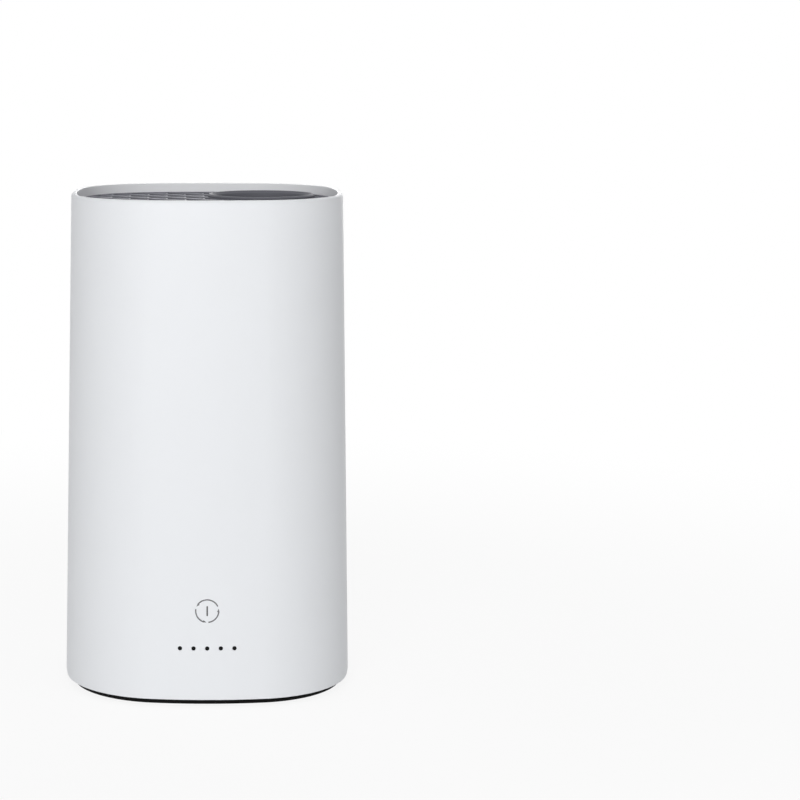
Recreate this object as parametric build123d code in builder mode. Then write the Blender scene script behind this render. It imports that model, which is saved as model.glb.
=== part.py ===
from build123d import *
import os
from math import atan2, ceil, degrees, radians, sqrt, tan

# Countertop steriliser and dryer for chopsticks and knives: a leaning rounded-square shell,
# a lift-out slatted grille with wavy fins and a cup, a drying tub, and the works under it.
# Millimetres. +Z is up, the front faces -Y, and the origin is on the worktop under the middle.

# ---- Shell: plan sizes are those of its bottom edge ----
body_width = 160.0  # across, and the same from front to back
corner_radius = 56.0  # plan radius of the four corners
side_radius = 213.0  # plan radius of the bowed sides
shell_height = 267.0
shell_lift = 4.0  # gap between the worktop and the shell's bottom edge
draft = 1.16  # lean of every side, in degrees
shell_wall = 3.0
rim_chamfer = 1.4
post_width = 9.0
post_height = 17.0
post_inset = 28.0  # of the posts' middles from the widest plan, each way
rib_thickness = 2.4
fit_gap = 0.3  # between pieces that seat in each other

# ---- Grille: slats and fins run from the front right to the rear left ----
grille_drop = 5.0  # below the top of the shell
grille_depth = 12.0
grille_gap = 0.6
grille_ring_width = 2.4
slat_pitch = 14.5
slat_width = 4.5
slat_shift = 5.0  # of the middle slat, towards the rear right
slat_chamfer = 0.5
slat_lift = 1.0  # underside above the ring's underside
fin_thickness = 1.0
fin_drop = 0.4  # top below the slats' tops
wave_length = 15.0
wave_height = 4.2  # between the two extremes of a fin's middle line
wave_crest = 3.0  # straight length of its middle line at each crest
wave_shift = -3.5  # of a crest along the slats

# ---- Cup and its collar ----
cup_inset = 49.5  # of its middle from the widest plan, at the right and the rear
collar_radius = 30.6
collar_wall = 2.4
cup_gap = 0.4
cup_wall = 1.8
cup_clearance = 15.5  # between the tub's floor and the cup
cup_floor = 2.4
lip_overhang = 2.0  # of the lip over the collar's bore
lip_height = 1.6
lip_chamfer = 0.8
funnel_depth = 4.0
drain_slot_length = 30.0
drain_slot_width = 3.0
drain_slot_pitch = 9.0
drain_slot_count = 4

# ---- Drying tub ----
tub_gap = 5.0  # between the shell and the tub at the grille
tub_wall = 2.0
tub_floor_height = 62.0  # underside of the tub's floor
tub_floor = 2.5
flange_thickness = 2.5
curb_height = 3.0  # round the air opening
curb_wall = 2.0
hood_height = 16.0
hood_wall = 2.0
hood_overhang = 3.0  # past the air opening
louvre_height = 2.6
louvre_count = 3
spout_bore = 4.0
spout_wall = 1.9
spout_length = 26.0  # below the tub's floor
spout_flange_width = 18.0
spout_flange = 2.0
spout_place = 40.0  # to the rear
strainer_radius = 10.0
strainer_height = 1.5
strainer_slot_width = 1.6
strainer_slot_count = 4

# ---- Base plate, chassis, feet and screws ----
base_height = 0.8  # underside of the base plate above the worktop
base_inset = 4.0  # of the plinth below the shell's edge
base_top = 7.0
foot_radius = 7.0
foot_inset = 38.0  # of their middles from the widest plan, each way
screw_radius = 1.4
screw_head_radius = 2.8
screw_head_height = 1.8
screw_pocket_width = 7.0
screw_length = 20.0  # of the screw and its hole, from the head's underside
screw_spare = 1.0  # of the hole past the screw's tip
intake_slot_width = 3.2
intake_slot_pitch = 7.0
intake_slot_count = 6
chassis_floor = 2.5
column_width = 10.0
front_column_inset = (34.0, 42.0)  # of their middles from the widest plan, at the side and the front
rear_column_inset = 23.0  # at the side
rear_column_place = 12.0  # behind the middle

# ---- Fan and heater ----
fan_inset = 46.0  # of its middle from the widest plan, at the front
fan_size = 60.0
fan_depth = 15.0
fan_corner = 4.0
fan_bore = 28.5
fan_floor = 2.0
fan_hub_radius = 11.0
fan_lug = 3.0
filter_height = 2.2
filter_width = 49.0
strut_width = 3.0
bearing_radius = 3.0
bearing_length = 6.5
bearing_seat = 1.0  # floor under the bearing
bearing_boss = 1.5
shaft_radius = 1.5
shaft_clearance = 0.04
impeller_radius = 27.8
impeller_hub_radius = 12.0
impeller_height = 9.5
impeller_lift = 1.5  # above the fan frame's floor
hub_wall = 1.5
hub_roof = 2.5
blade_count = 7
blade_thickness = 1.5
blade_pitch_angle = 38.0
duct_x = 50.0
duct_y = 38.0
duct_wall = 1.6
duct_plate = 3.0
duct_shoulder = 4.0
seal_height = 2.0
heater_height = 12.0
heater_slot_width = 2.2
heater_slot_count = 9
heater_rim = 3.0
cutout_size = (4.0, 14.0, 8.0)
cutout_chamfer = 1.0

# ---- Drip tray, pulled out to the rear ----
tray_inset = 35.5  # of its sides from the widest plan
tray_height = 22.5
tray_wall = 1.8
tray_floor = 2.0
tray_front = 10.0  # start of the tray, behind the middle
tray_panel = 12.0  # thickness of its rear panel at the middle
tray_gap = 0.6  # round its panel in the shell
tray_corner = 2.5
rail_gap = 0.5  # beside the tray
rail_wall = 2.0
rail_short = 19.0  # the rails end this far from the shell's rear face
finger_radius = 13.0
finger_depth = 4.0

# ---- Key, lights, board and inlet ----
light_height = 32.5
light_pitch = 7.3
light_count = 5
light_radius = 1.2
light_gap = 0.1
pipe_bar_height = 4.0
key_height = 53.0
key_radius = 6.2
board_inset = 44.0  # of its ends from the widest plan
board_height = 46.0
board_thickness = 1.6
board_gap = 9.0  # from the widest plan to its face
board_bottom = 14.0
board_seat = 1.5  # of the chassis past the board's faces
board_cheek = 12.0  # height of the cheeks beside it
chip_size = (12.0, 2.4, 8.0)  # across, deep and high
chip_pitch = 20.0
chip_count = 3
chip_lift = 12.0  # of their middles above the board's lower edge
relay_size = (10.0, 3.2, 14.0)
relay_lift = 35.0
led_depth = 0.9
led_width = 2.0
inlet_height = 50.0
inlet_radius = 5.4
inlet_gap = 0.2
inlet_length = 16.0
inlet_bore = 2.8
inlet_bore_depth = 10.0
inlet_pin_radius = 1.0
inlet_pin_root = 1.0
inlet_pin_recess = 1.5
inlet_flange_width = 16.0
inlet_flange = 2.2

# ---- Ultraviolet lamp in the tub's left wall ----
lamp_height = 148.0
lamp_length = 44.0
lamp_width = 16.0
lamp_depth = 5.0
lamp_frame = 4.0
lamp_flange = 1.6
lamp_seat = 2.0  # of the board and the window round the opening
lamp_flange_overhang = 2.0
window_thickness = 1.4
lamp_board_thickness = 1.2
uv_led_size = 3.4
uv_led_depth = 1.0
uv_led_pitch = 11.0

# ---- Worked out from the sizes above ----
half_width = body_width / 2
shell_top = shell_lift + shell_height
side_offset = half_width - side_radius
corner_offset = (side_offset + sqrt(2 * (side_radius - corner_radius) ** 2 - side_offset**2)) / 2
side_sweep = 2 * degrees(atan2(corner_offset, corner_offset - side_offset))
far = 2 * body_width  # longer than anything it cuts


def lean_at(z):
    """How far the shell's face has moved in at height z."""
    return (z - shell_lift) * tan(radians(draft))


grille_top = shell_top - grille_drop
grille_base = grille_top - grille_depth
ring_inset = lean_at(grille_top) + shell_wall + grille_gap
slat_inset = ring_inset + grille_ring_width
collar_bore = collar_radius - collar_wall
cup_radius = collar_bore - cup_gap
cup_bore = cup_radius - cup_wall
cup_top = grille_top + lip_height
lip_radius = collar_bore + lip_overhang
funnel_width = lip_radius - lip_height - cup_bore
cup_place = half_width - cup_inset
cup_centre = (cup_place, cup_place)
tub_inset = lean_at(grille_base) + shell_wall + tub_gap
tub_inside = tub_floor_height + tub_floor
cup_base = tub_inside + cup_clearance
air_x = duct_x - 2 * duct_wall
air_y = duct_y - 2 * duct_wall
chassis_top = base_top + chassis_floor
fan_top = chassis_top + fan_depth
duct_top = tub_floor_height - seal_height
fan_place = fan_inset - half_width
fan_centre = (0, fan_place)
post_place = half_width - post_inset
foot_place = half_width - foot_inset
corner_posts = [(x * post_place, y * post_place) for x in (-1, 1) for y in (-1, 1)]
corner_feet = [(x * foot_place, y * foot_place) for x in (-1, 1) for y in (-1, 1)]
light_places = [(i - (light_count - 1) / 2) * light_pitch for i in range(light_count)]
front_columns = (half_width - front_column_inset[0], front_column_inset[1] - half_width)
rear_columns = (half_width - rear_column_inset, rear_column_place)
column_places = [(side * x, y) for x, y in (front_columns, rear_columns) for side in (1, -1)]
tray_width = 2 * (half_width - tray_inset)
tray_top = chassis_top + tray_height
board_width = 2 * (half_width - board_inset)
board_front = half_width - board_gap
board_back = board_front - board_thickness
head_top = base_height + screw_head_height
hole_top = base_height + screw_length


def body_outline(inset):
    """Draw the body's plan outline, moved in by inset: four bowed sides and four round corners."""
    with BuildLine() as edge:
        for turn in range(0, 360, 90):
            side_centre = Vector(side_offset, 0).rotate(Axis.Z, turn)
            corner_centre = Vector(corner_offset, corner_offset).rotate(Axis.Z, turn)
            CenterArc(side_centre, side_radius - inset, turn - side_sweep / 2, side_sweep)
            CenterArc(corner_centre, corner_radius - inset, turn + side_sweep / 2, 90 - side_sweep)
    make_face(edge.edges())


def leaning_block(low, high, inset, mode=Mode.ADD):
    """A block that leans in with the shell from height low to high, inset from its face."""
    sections = []
    for z in (low, high):
        with BuildSketch(Plane.XY.offset(z)) as section:
            body_outline(inset + lean_at(z))
        sections.append(section.sketch)
    loft(sections, ruled=True, mode=mode)


def upright_block(low, high, inset, mode=Mode.ADD):
    """A block with upright sides from height low to high, inset from the bottom edge."""
    with BuildSketch(Plane.XY.offset(low)) as section:
        body_outline(inset)
    extrude(section.sketch, amount=high - low, mode=mode)


def box_between(x, y, z, mode=Mode.ADD):
    """A box given by its two limits along each axis."""
    with Locations(((x[0] + x[1]) / 2, (y[0] + y[1]) / 2, (z[0] + z[1]) / 2)):
        Box(x[1] - x[0], y[1] - y[0], z[1] - z[0], mode=mode)


def disc(place, radius, low, high, mode=Mode.ADD):
    """An upright cylinder at a place in plan, from height low to high."""
    with Locations((place[0], place[1], (low + high) / 2)):
        Cylinder(radius, high - low, mode=mode)


def rod_y(x, z, radius, start, end, mode=Mode.ADD):
    """A cylinder along Y at the given x and z, from y = start to y = end."""
    with Locations((x, (start + end) / 2, z)):
        Cylinder(radius, end - start, rotation=(90, 0, 0), mode=mode)


def finish(piece, name):
    """Label a finished piece and write it."""
    piece.part.label = name
    export_step(piece.part, f"parts/{name}.step")


os.makedirs("parts", exist_ok=True)

# ---- Outer shell: open at the top and bottom, with lights, tray mouth and inlet hole ----
tray_mouth_low = chassis_top - tray_gap
tray_mouth_high = tray_top + tray_gap
with BuildPart() as outer_shell:
    leaning_block(shell_lift, shell_top, 0)
    chamfer(outer_shell.faces().sort_by(Axis.Z)[-1].edges(), rim_chamfer)
    leaning_block(shell_lift, shell_top, shell_wall, mode=Mode.SUBTRACT)
    for post in corner_posts:
        with Locations((*post, chassis_top + post_height / 2)):
            Box(post_width, post_width, post_height)
    rib_reach = sqrt(2) * corner_offset + corner_radius - shell_wall / 2
    rib_start = sqrt(2) * post_place
    for turn in range(45, 360, 90):
        with BuildSketch(Plane.XY.offset(chassis_top).rotated((0, 0, turn))):
            with Locations(((rib_start + rib_reach) / 2, 0)):
                Rectangle(rib_reach - rib_start, rib_thickness)
        extrude(amount=post_height)
    for post in corner_posts:
        disc(post, screw_radius, 0, hole_top, mode=Mode.SUBTRACT)
    for x in light_places:
        rod_y(x, light_height, light_radius, -half_width, -half_width + 3 * shell_wall, Mode.SUBTRACT)
    rod_y(0, inlet_height, inlet_radius + inlet_gap, half_width / 2, half_width, Mode.SUBTRACT)
    with BuildSketch(Plane.XZ.offset(-half_width / 2)):
        with Locations((0, (tray_mouth_low + tray_mouth_high) / 2)):
            RectangleRounded(
                tray_width + 2 * tray_gap, tray_mouth_high - tray_mouth_low, tray_corner + tray_gap
            )
    extrude(amount=-half_width, mode=Mode.SUBTRACT)
finish(outer_shell, "outer_shell")

# ---- Drying tub: hangs inside the shell, open at the top ----
drain_place = (0, spout_place)
lamp_face = half_width - tub_inset  # outside of the tub's left wall
with BuildPart() as inner_tub:
    upright_block(tub_floor_height, grille_base, tub_inset)
    upright_block(grille_base - flange_thickness, grille_base, tub_inset - tub_gap + fit_gap)
    upright_block(tub_inside, grille_base, tub_inset + tub_wall, mode=Mode.SUBTRACT)
    with BuildSketch(Plane.XY.offset(tub_inside)):
        with Locations(fan_centre):
            Rectangle(air_x + 2 * curb_wall, air_y + 2 * curb_wall)
    extrude(amount=curb_height)
    with BuildSketch(Plane.XY.offset(tub_floor_height)):
        with Locations(fan_centre):
            Rectangle(air_x, air_y)
        with Locations(drain_place):
            Circle(spout_bore + spout_wall + light_gap)
    extrude(amount=tub_floor + curb_height, mode=Mode.SUBTRACT)
    box_between(
        (-lamp_face - tub_gap, -lamp_face + 2 * tub_gap),
        (-lamp_length / 2 - fit_gap, lamp_length / 2 + fit_gap),
        (lamp_height - lamp_width / 2 - fit_gap, lamp_height + lamp_width / 2 + fit_gap),
        mode=Mode.SUBTRACT,
    )
finish(inner_tub, "inner_tub")

# ---- Lift-out grille: a ring, slats, wavy fins and the cup's collar ----
with BuildPart() as grille_ring:
    upright_block(grille_base, grille_top, ring_inset)
    upright_block(grille_base, grille_top, slat_inset, mode=Mode.SUBTRACT)
finish(grille_ring, "grille_ring")

# Slats and fins are drawn on a plane whose x runs along them and whose y crosses them.
rows = ceil(sqrt(2) * half_width / slat_pitch)
slat_rows = [slat_shift + i * slat_pitch for i in range(-rows, rows + 1)]
corner_reach = sqrt(2) * corner_offset + corner_radius - slat_inset
slat_rows = [row for row in slat_rows if abs(row) < corner_reach - slat_width]
fin_rows = [row + slat_pitch / 2 for row in slat_rows]


def slat_plane(z):
    """The plane at height z that is turned along the slats."""
    return Plane(origin=(0, 0, z), x_dir=(1, -1, 0), z_dir=(0, 0, 1))


slat_base = grille_base + slat_lift
with BuildPart() as grille_slats:
    with BuildSketch(slat_plane(slat_base)):
        for row in slat_rows:
            with Locations((0, row)):
                Rectangle(far, slat_width)
    extrude(amount=grille_top - slat_base)
    along_slats = Vector(1, -1, 0).normalized()
    top_edges = [
        edge
        for edge in grille_slats.edges().group_by(Axis.Z)[-1]
        if abs(edge.tangent_at(0.5).dot(along_slats)) > 0.99
    ]
    chamfer(top_edges, slat_chamfer)
    upright_block(slat_base, grille_top, slat_inset, mode=Mode.INTERSECT)
    disc(cup_centre, collar_radius, slat_base, grille_top, mode=Mode.SUBTRACT)
finish(grille_slats, "grille_slats")

# A fin's middle line is straight crests joined by straight slopes; both faces keep half a
# thickness from it, so a face's crests are longer outside the bend and shorter inside it.
slope = atan2(wave_height, wave_length / 2 - wave_crest)
half_waves = 2 * ceil(sqrt(2) * half_width / wave_length)


def fin_face_points(row, offset):
    """Both ends of each crest of a fin's face, offset from its middle line."""
    points = []
    for i in range(-half_waves, half_waves + 1):
        side = 1 if i % 2 == 0 else -1
        middle = wave_shift + i * wave_length / 2
        half = wave_crest / 2 + side * offset * tan(slope / 2)
        height = row + side * wave_height / 2 + offset
        points += [(middle - half, height), (middle + half, height)]
    return points


def fin_outline(row):
    """Draw one wavy fin along its row, from end to end of the widest grille."""
    near = fin_face_points(row, -fin_thickness / 2)
    away = fin_face_points(row, fin_thickness / 2)
    with BuildLine() as edge:
        Polyline(*near, *reversed(away), close=True)
    make_face(edge.edges())


fin_top = grille_top - fin_drop
long_row = min(fin_rows, key=lambda row: abs(row + slat_pitch))
with BuildPart() as wave_fins:
    with BuildSketch(slat_plane(slat_base)):
        for row in fin_rows:
            if row != long_row:
                fin_outline(row)
    extrude(amount=fin_top - slat_base)
    upright_block(slat_base, fin_top, slat_inset, mode=Mode.INTERSECT)
    disc(cup_centre, collar_radius, slat_base, fin_top, mode=Mode.SUBTRACT)
finish(wave_fins, "wave_fins")

with BuildPart() as long_fin:
    with BuildSketch(slat_plane(slat_base)):
        fin_outline(long_row)
    extrude(amount=fin_top - slat_base)
    upright_block(slat_base, fin_top, slat_inset, mode=Mode.INTERSECT)
finish(long_fin, "long_fin")

with BuildPart() as cup_collar:
    disc(cup_centre, collar_radius, slat_base, grille_top)
    disc(cup_centre, collar_bore, slat_base, grille_top, mode=Mode.SUBTRACT)
finish(cup_collar, "cup_collar")

# ---- Chopstick cup: a deep tube with a funnel lip that rests on the collar ----
cup_axis = Plane(origin=(cup_place, cup_place, 0), x_dir=(1, 0, 0), z_dir=(0, -1, 0))
with BuildPart() as chopstick_cup:
    with BuildSketch(cup_axis):
        with BuildLine():
            Polyline(
                (0, cup_base),
                (cup_radius - cup_floor, cup_base),
                (cup_radius, cup_base + cup_floor),
                (cup_radius, grille_top),
                (lip_radius, grille_top),
                (lip_radius, cup_top - lip_chamfer),
                (lip_radius - lip_chamfer, cup_top),
                (cup_bore + funnel_width, cup_top),
                (cup_bore + funnel_width / 3, cup_top - funnel_depth / 3),
                (cup_bore, cup_top - funnel_depth),
                (cup_bore, cup_base + cup_floor),
                (0, cup_base + cup_floor),
                close=True,
            )
        make_face()
    revolve(axis=Axis((cup_place, cup_place, 0), (0, 0, 1)))
    with BuildSketch(Plane.XY.offset(cup_base)):
        with Locations(cup_centre):
            with GridLocations(0, drain_slot_pitch, 1, drain_slot_count):
                Rectangle(drain_slot_length, drain_slot_width)
    extrude(amount=cup_floor, mode=Mode.SUBTRACT)
finish(chopstick_cup, "chopstick_cup")

# ---- Hood over the air opening, drain spout and strainer ----
hood_x = air_x + 2 * (hood_overhang + hood_wall)
hood_y = air_y + 2 * (hood_overhang + hood_wall)
with BuildPart() as air_hood:
    with BuildSketch(Plane.XY.offset(tub_inside)):
        with Locations(fan_centre):
            RectangleRounded(hood_x, hood_y, hood_wall + 2)
    extrude(amount=hood_height)
    chamfer(air_hood.faces().sort_by(Axis.Z)[-1].edges(), hood_wall / 2)
    with BuildSketch(Plane.XY.offset(tub_inside)):
        with Locations(fan_centre):
            RectangleRounded(hood_x - 2 * hood_wall, hood_y - 2 * hood_wall, 2)
    extrude(amount=hood_height - hood_wall, mode=Mode.SUBTRACT)
    louvre_pitch = (hood_height - hood_wall - curb_height) / louvre_count
    for i in range(louvre_count):
        with Locations((0, fan_place, tub_inside + curb_height + louvre_pitch * (i + 0.5))):
            Box(air_x, far, louvre_height, mode=Mode.SUBTRACT)
finish(air_hood, "air_hood")

with BuildPart() as drain_spout:
    disc(drain_place, spout_bore + spout_wall, tub_floor_height - spout_length, tub_inside)
    with Locations((*drain_place, tub_floor_height - spout_flange / 2)):
        Box(spout_flange_width, spout_flange_width, spout_flange)
    disc(drain_place, spout_bore, tub_floor_height - spout_length, tub_inside, mode=Mode.SUBTRACT)
finish(drain_spout, "drain_spout")

with BuildPart() as drain_strainer:
    disc(drain_place, strainer_radius, tub_inside, tub_inside + strainer_height)
    with BuildSketch(Plane.XY.offset(tub_inside)):
        with Locations(drain_place):
            with GridLocations(0, 2 * spout_bore / strainer_slot_count, 1, strainer_slot_count):
                Rectangle(2 * spout_bore, strainer_slot_width)
    extrude(amount=strainer_height, mode=Mode.SUBTRACT)
finish(drain_strainer, "drain_strainer")

# ---- Base plate: a black plinth with an intake grille and screw holes, and its feet and screws ----
intake_span = (intake_slot_count - 1) * intake_slot_pitch
with BuildPart() as base_plate:
    upright_block(base_height, shell_lift, base_inset)
    upright_block(shell_lift, base_top, lean_at(base_top) + shell_wall + fit_gap)
    for post in corner_posts:
        disc(post, screw_radius + light_gap, 0, base_top, mode=Mode.SUBTRACT)
        with Locations((*post, head_top / 2)):
            Box(screw_pocket_width, screw_pocket_width, head_top, mode=Mode.SUBTRACT)
    with BuildSketch(Plane.XY.offset(base_height)):
        for i in range(intake_slot_count):
            across = i * intake_slot_pitch - intake_span / 2
            slot_reach = 2 * sqrt((fan_bore - intake_slot_pitch / 2) ** 2 - across**2)
            with Locations((0, fan_place + across)):
                Rectangle(slot_reach, intake_slot_width)
    extrude(amount=base_top - base_height, mode=Mode.SUBTRACT)
finish(base_plate, "base_plate")

with BuildPart() as rubber_feet:
    for foot in corner_feet:
        disc(foot, foot_radius, 0, base_height)
finish(rubber_feet, "rubber_feet")

with BuildPart() as base_screws:
    with BuildSketch(Plane.XY.offset(base_height)):
        with Locations(*corner_posts):
            RegularPolygon(screw_head_radius, 6)
    extrude(amount=screw_head_height)
    for post in corner_posts:
        disc(post, screw_radius - light_gap, head_top, hole_top - screw_spare)
finish(base_screws, "base_screws")

# ---- Chassis: carries the tub, the fan, the board and the tray ----
rail_inner = tray_width / 2 + rail_gap
stop_front = tray_front - 2 * rail_gap - rail_wall
with BuildPart() as chassis:
    upright_block(base_top, chassis_top, lean_at(chassis_top) + shell_wall + fit_gap)
    for place in column_places:
        with Locations((*place, (chassis_top + tub_floor_height) / 2)):
            Box(column_width, column_width, tub_floor_height - chassis_top)
    for side in (-1, 1):
        rail = sorted((side * rail_inner, side * (rail_inner + rail_wall)))
        box_between(rail, (stop_front, half_width - rail_short), (chassis_top, tray_top))
    box_between(
        (-rail_inner - rail_wall, rail_inner + rail_wall),
        (stop_front, stop_front + rail_wall),
        (chassis_top, tray_top),
    )
    for x in (-1, 1):
        for y in (-1, 1):
            lug_x = x * (fan_size / 2 + fit_gap + fan_lug / 2)
            lug_y = fan_place + y * (fan_size / 2 - 2 * fan_lug)
            with Locations((lug_x, lug_y, chassis_top + fan_depth / 4)):
                Box(fan_lug, 2 * fan_lug, fan_depth / 2)
    board_depth = (-board_front - board_seat, -board_back + board_seat)
    box_between((-board_width / 2, board_width / 2), board_depth, (chassis_top, board_bottom))
    for x in (-1, 1):
        cheek = sorted((x * (board_width / 2 + fit_gap), x * (board_width / 2 + fit_gap + rail_wall)))
        box_between(cheek, board_depth, (chassis_top, board_bottom + board_cheek))
    with Locations((*fan_centre, (base_top + chassis_top) / 2)):
        Box(filter_width + 2 * fit_gap, filter_width + 2 * fit_gap, chassis_floor, mode=Mode.SUBTRACT)
    for post in corner_posts:
        disc(post, screw_radius + light_gap, base_top, chassis_top, mode=Mode.SUBTRACT)
finish(chassis, "chassis")

with BuildPart() as intake_filter:
    with Locations((*fan_centre, base_top + filter_height / 2)):
        Box(filter_width, filter_width, filter_height)
finish(intake_filter, "intake_filter")

# ---- Fan: frame with struts and a hub, bearing, shaft and impeller ----
with BuildPart() as fan_frame:
    with BuildSketch(Plane.XY.offset(chassis_top)):
        with Locations(fan_centre):
            RectangleRounded(fan_size, fan_size, fan_corner)
            Circle(fan_bore, mode=Mode.SUBTRACT)
    extrude(amount=fan_depth)
    with BuildSketch(Plane.XY.offset(chassis_top)):
        with Locations(fan_centre):
            for turn in (45, 135):
                Rectangle(2 * fan_bore + 1, strut_width, rotation=turn)
            Circle(fan_hub_radius)
    extrude(amount=fan_floor)
    boss_top = chassis_top + fan_floor + bearing_seat
    disc(fan_centre, bearing_radius + bearing_boss, chassis_top, boss_top)
    disc(fan_centre, bearing_radius, chassis_top + bearing_seat, boss_top, mode=Mode.SUBTRACT)
finish(fan_frame, "fan_frame")

bearing_low = chassis_top + bearing_seat
bearing_high = bearing_low + bearing_length
with BuildPart() as fan_bearing:
    disc(fan_centre, bearing_radius, bearing_low, bearing_high)
    disc(fan_centre, shaft_radius + shaft_clearance, bearing_low, bearing_high, mode=Mode.SUBTRACT)
finish(fan_bearing, "fan_bearing")

impeller_low = chassis_top + fan_floor + impeller_lift
impeller_high = impeller_low + impeller_height
with BuildPart() as fan_shaft:
    disc(fan_centre, shaft_radius, bearing_low + fit_gap, impeller_high - hub_roof / 4)
finish(fan_shaft, "fan_shaft")

with BuildPart() as fan_impeller:
    blade_length = impeller_radius - impeller_hub_radius + 2 * hub_wall
    with Locations((0, fan_place, (impeller_low + impeller_high) / 2)):
        with PolarLocations(impeller_hub_radius - hub_wall / 2 + blade_length / 2, blade_count):
            Box(blade_length, blade_thickness, 2 * impeller_height, rotation=(blade_pitch_angle, 0, 0))
    disc(fan_centre, impeller_radius, impeller_low, impeller_high, mode=Mode.INTERSECT)
    disc(fan_centre, impeller_hub_radius, impeller_low, impeller_high)
    hub_hollow = impeller_hub_radius - hub_wall
    disc(fan_centre, hub_hollow, impeller_low, impeller_high - hub_roof, mode=Mode.SUBTRACT)
    disc(fan_centre, shaft_radius, impeller_low, impeller_high, mode=Mode.SUBTRACT)
finish(fan_impeller, "fan_impeller")

# ---- Heater over the fan, its duct, seal and cut-out ----
with BuildPart() as heater_duct:
    with BuildSketch(Plane.XY.offset(fan_top)):
        with Locations(fan_centre):
            RectangleRounded(fan_size, fan_size, fan_corner)
            Rectangle(air_x - 2 * duct_shoulder, air_y, mode=Mode.SUBTRACT)
    extrude(amount=duct_plate)
    with BuildSketch(Plane.XY.offset(fan_top + duct_plate)):
        with Locations(fan_centre):
            Rectangle(duct_x, duct_y)
            Rectangle(air_x, air_y, mode=Mode.SUBTRACT)
    extrude(amount=duct_top - fan_top - duct_plate)
finish(heater_duct, "heater_duct")

heater_low = fan_top + duct_plate
heater_x = air_x - 2 * fit_gap
heater_y = air_y - 2 * fit_gap
with BuildPart() as heater_core:
    with BuildSketch(Plane.XY.offset(heater_low)):
        with Locations(fan_centre):
            Rectangle(heater_x, heater_y)
            with GridLocations(heater_x / (heater_slot_count + 1), 0, heater_slot_count, 1):
                Rectangle(heater_slot_width, heater_y - 2 * heater_rim, mode=Mode.SUBTRACT)
    extrude(amount=heater_height)
finish(heater_core, "heater_core")

with BuildPart() as duct_seal:
    with BuildSketch(Plane.XY.offset(duct_top)):
        with Locations(fan_centre):
            Rectangle(duct_x, duct_y)
            Rectangle(air_x, air_y, mode=Mode.SUBTRACT)
    extrude(amount=seal_height)
finish(duct_seal, "duct_seal")

with BuildPart() as thermal_cutout:
    with Locations((duct_x / 2 + cutout_size[0] / 2, fan_place, heater_low + heater_height / 2)):
        Box(*cutout_size)
    chamfer(thermal_cutout.edges().filter_by(Axis.Z), cutout_chamfer)
finish(thermal_cutout, "thermal_cutout")

# ---- Drip tray: its panel follows the shell's rear face ----
with BuildPart() as drip_tray:
    box_between((-tray_width / 2, tray_width / 2), (tray_front, half_width), (chassis_top, tray_top))
    fillet(drip_tray.edges().filter_by(Axis.Y), tray_corner)
    leaning_block(chassis_top, tray_top, 0, mode=Mode.INTERSECT)
    box_between(
        (-tray_width / 2 + tray_wall, tray_width / 2 - tray_wall),
        (tray_front + tray_wall, half_width - tray_panel),
        (chassis_top + tray_floor, tray_top),
        mode=Mode.SUBTRACT,
    )
    with Locations((0, half_width, tray_top)):
        Cylinder(finger_radius, 2 * finger_depth, rotation=(90, 0, 0), mode=Mode.SUBTRACT)
finish(drip_tray, "drip_tray")

# ---- Control board with its parts, the touch pad, lights and inlet ----
with BuildPart() as control_board:
    box_between(
        (-board_width / 2, board_width / 2),
        (-board_front, -board_back),
        (board_bottom, board_bottom + board_height),
    )
finish(control_board, "control_board")

with BuildPart() as board_parts:
    with Locations((0, -board_back + chip_size[1] / 2, board_bottom + chip_lift)):
        with GridLocations(chip_pitch, 0, chip_count, 1):
            Box(*chip_size)
    with Locations((chip_pitch, -board_back + relay_size[1] / 2, board_bottom + relay_lift)):
        Box(*relay_size)
finish(board_parts, "board_parts")

with BuildPart() as status_leds:
    for x in light_places:
        box_between(
            (x - led_width / 2, x + led_width / 2),
            (-board_front - led_depth, -board_front),
            (light_height - led_width / 2, light_height + led_width / 2),
        )
finish(status_leds, "status_leds")

wall_at_key = half_width - lean_at(key_height) - shell_wall
with BuildPart() as touch_pad:
    rod_y(0, key_height, key_radius, -wall_at_key + fit_gap, -board_front)
finish(touch_pad, "touch_pad")

face_at_lights = half_width - lean_at(light_height + light_radius)
bar_half = light_places[-1] + 2 * light_radius
bar_front = face_at_lights - shell_wall - bar_half**2 / (2 * side_radius) - fit_gap
with BuildPart() as light_pipes:
    box_between(
        (-bar_half, bar_half),
        (-bar_front, -board_front - led_depth - fit_gap),
        (light_height - pipe_bar_height / 2, light_height + pipe_bar_height / 2),
    )
    for x in light_places:
        lens_face = face_at_lights - x**2 / (2 * side_radius) - light_gap
        rod_y(x, light_height, light_radius - light_gap, -lens_face, -bar_front)
finish(light_pipes, "light_pipes")

inlet_face = half_width - lean_at(inlet_height) - light_gap
flange_half = inlet_flange_width / 2
wall_at_flange = half_width - lean_at(inlet_height + flange_half) - shell_wall
flange_front = wall_at_flange - flange_half**2 / (2 * side_radius) - light_gap
with BuildPart() as power_inlet:
    rod_y(0, inlet_height, inlet_radius, inlet_face - inlet_length, inlet_face)
    with Locations((0, flange_front - inlet_flange / 2, inlet_height)):
        Box(inlet_flange_width, inlet_flange, inlet_flange_width)
    rod_y(0, inlet_height, inlet_bore, inlet_face - inlet_bore_depth, inlet_face, Mode.SUBTRACT)
    pin_root = inlet_face - inlet_bore_depth - inlet_pin_root
    rod_y(0, inlet_height, inlet_pin_radius, pin_root, inlet_face - inlet_pin_recess)
finish(power_inlet, "power_inlet")

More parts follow.
